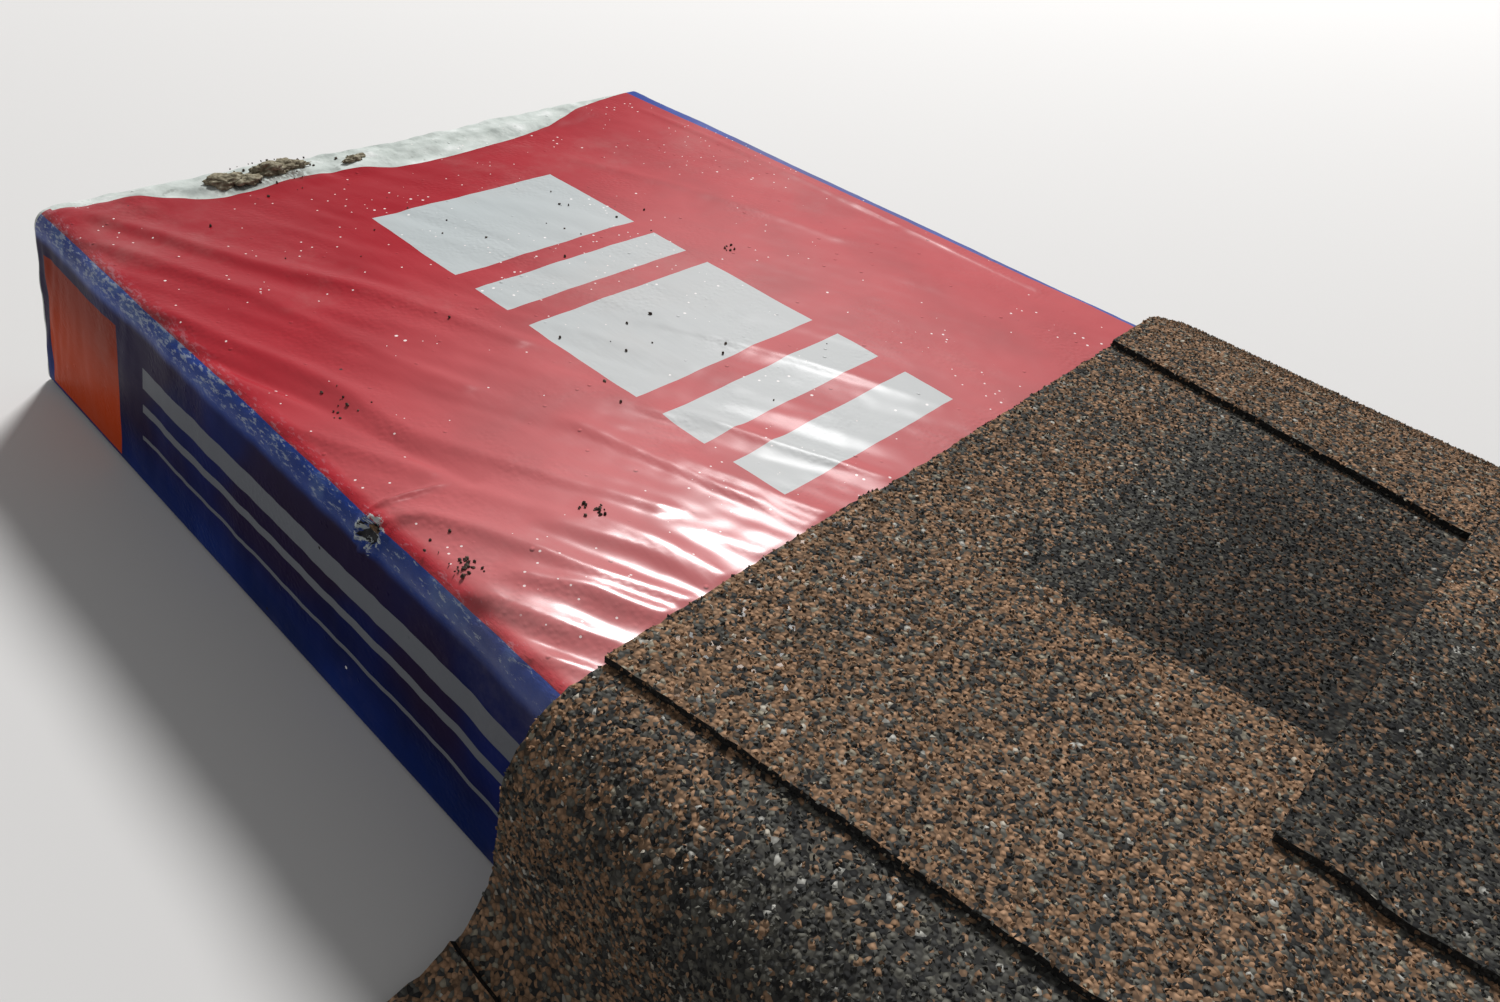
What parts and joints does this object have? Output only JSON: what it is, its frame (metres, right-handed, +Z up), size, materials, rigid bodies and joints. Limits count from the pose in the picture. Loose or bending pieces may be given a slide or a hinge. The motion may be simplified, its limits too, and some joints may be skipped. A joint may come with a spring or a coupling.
{
  "type": "asphalt shingle bundle",
  "caption": "Film-wrapped bundle of laminated asphalt roof shingles lying flat, with loose granule-faced shingles draped across it and down to the floor.",
  "frame": {"origin": "middle of the bundle's flat underside, on the floor", "axes": "+X along the bundle from its bare end towards the far side of the draped shingles, +Y to its right long side, +Z up"},
  "size_m": [1.0222, 0.9536, 0.0991],
  "materials": {
    "printed_film": "thin printed polyethylene film, red on top with blue sides, wrinkled and scuffed",
    "stacked_shingle": "mineral granules in black asphalt",
    "backing_granules": "brown and charcoal mineral granules in black asphalt",
    "overlay_granules": "brown and charcoal mineral granules in black asphalt"
  },
  "bodies": {
    "root": {"wrapper_film": "printed_film", "stacked_overlays": "stacked_shingle", "stacked_backings": "stacked_shingle", "lower_shingle_backing": "backing_granules", "lower_shingle_overlay": "overlay_granules", "upper_shingle_backing": "backing_granules", "upper_shingle_overlay": "overlay_granules"}
  },
  "joints": []
}
